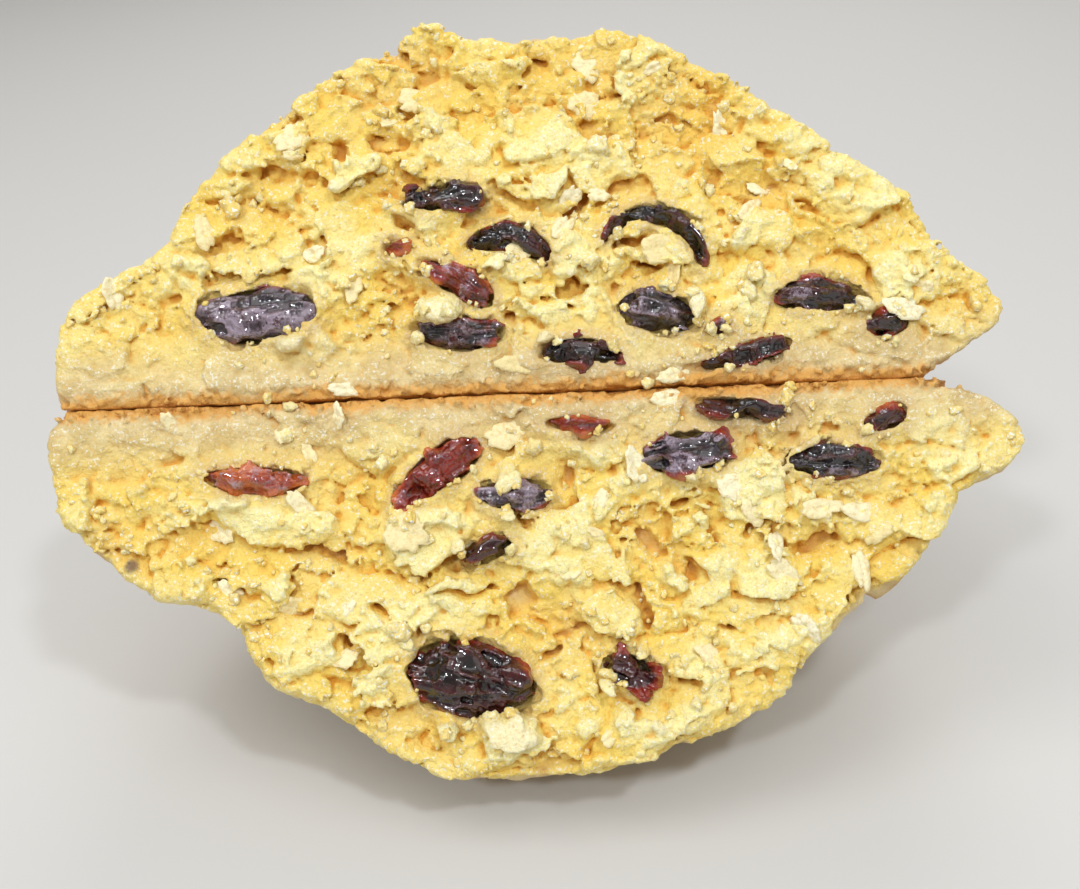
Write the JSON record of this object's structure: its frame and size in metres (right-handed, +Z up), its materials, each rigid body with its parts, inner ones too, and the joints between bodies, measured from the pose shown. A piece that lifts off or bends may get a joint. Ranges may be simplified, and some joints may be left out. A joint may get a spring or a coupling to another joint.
{
  "type": "oatmeal raisin cookie",
  "caption": "Thick oatmeal raisin cookie broken across the middle and folded back base to base, with both crumbly broken faces and their raisins showing.",
  "frame": {"origin": "bottom of the standing pair, under the middle of its bounding box", "axes": "+X along the seam between the halves, +Z up, and the broken faces look towards -Y and lean back"},
  "size_m": [0.0994, 0.0682, 0.0725],
  "materials": {
    "crumb": "soft torn crumb, pale golden yellow, with a browned base layer and a smooth pale crust",
    "raisin": "dark purple-brown wrinkled skin, sticky and glossy"
  },
  "bodies": {
    "root": {"cookie_upper_half": "crumb", "cookie_lower_half": "crumb", "raisin_upper_01": "raisin", "raisin_upper_02": "raisin", "raisin_upper_03": "raisin", "raisin_upper_04": "raisin", "raisin_upper_05": "raisin", "raisin_upper_06": "raisin", "raisin_upper_07": "raisin", "raisin_upper_08": "raisin", "raisin_upper_09": "raisin", "raisin_upper_10": "raisin", "raisin_upper_11": "raisin", "raisin_upper_12": "raisin", "raisin_upper_13": "raisin", "raisin_lower_01": "raisin", "raisin_lower_02": "raisin", "raisin_lower_03": "raisin", "raisin_lower_04": "raisin", "raisin_lower_05": "raisin", "raisin_lower_06": "raisin", "raisin_lower_07": "raisin", "raisin_lower_08": "raisin", "raisin_lower_09": "raisin", "raisin_lower_10": "raisin", "raisin_lower_11": "raisin"}
  },
  "joints": []
}
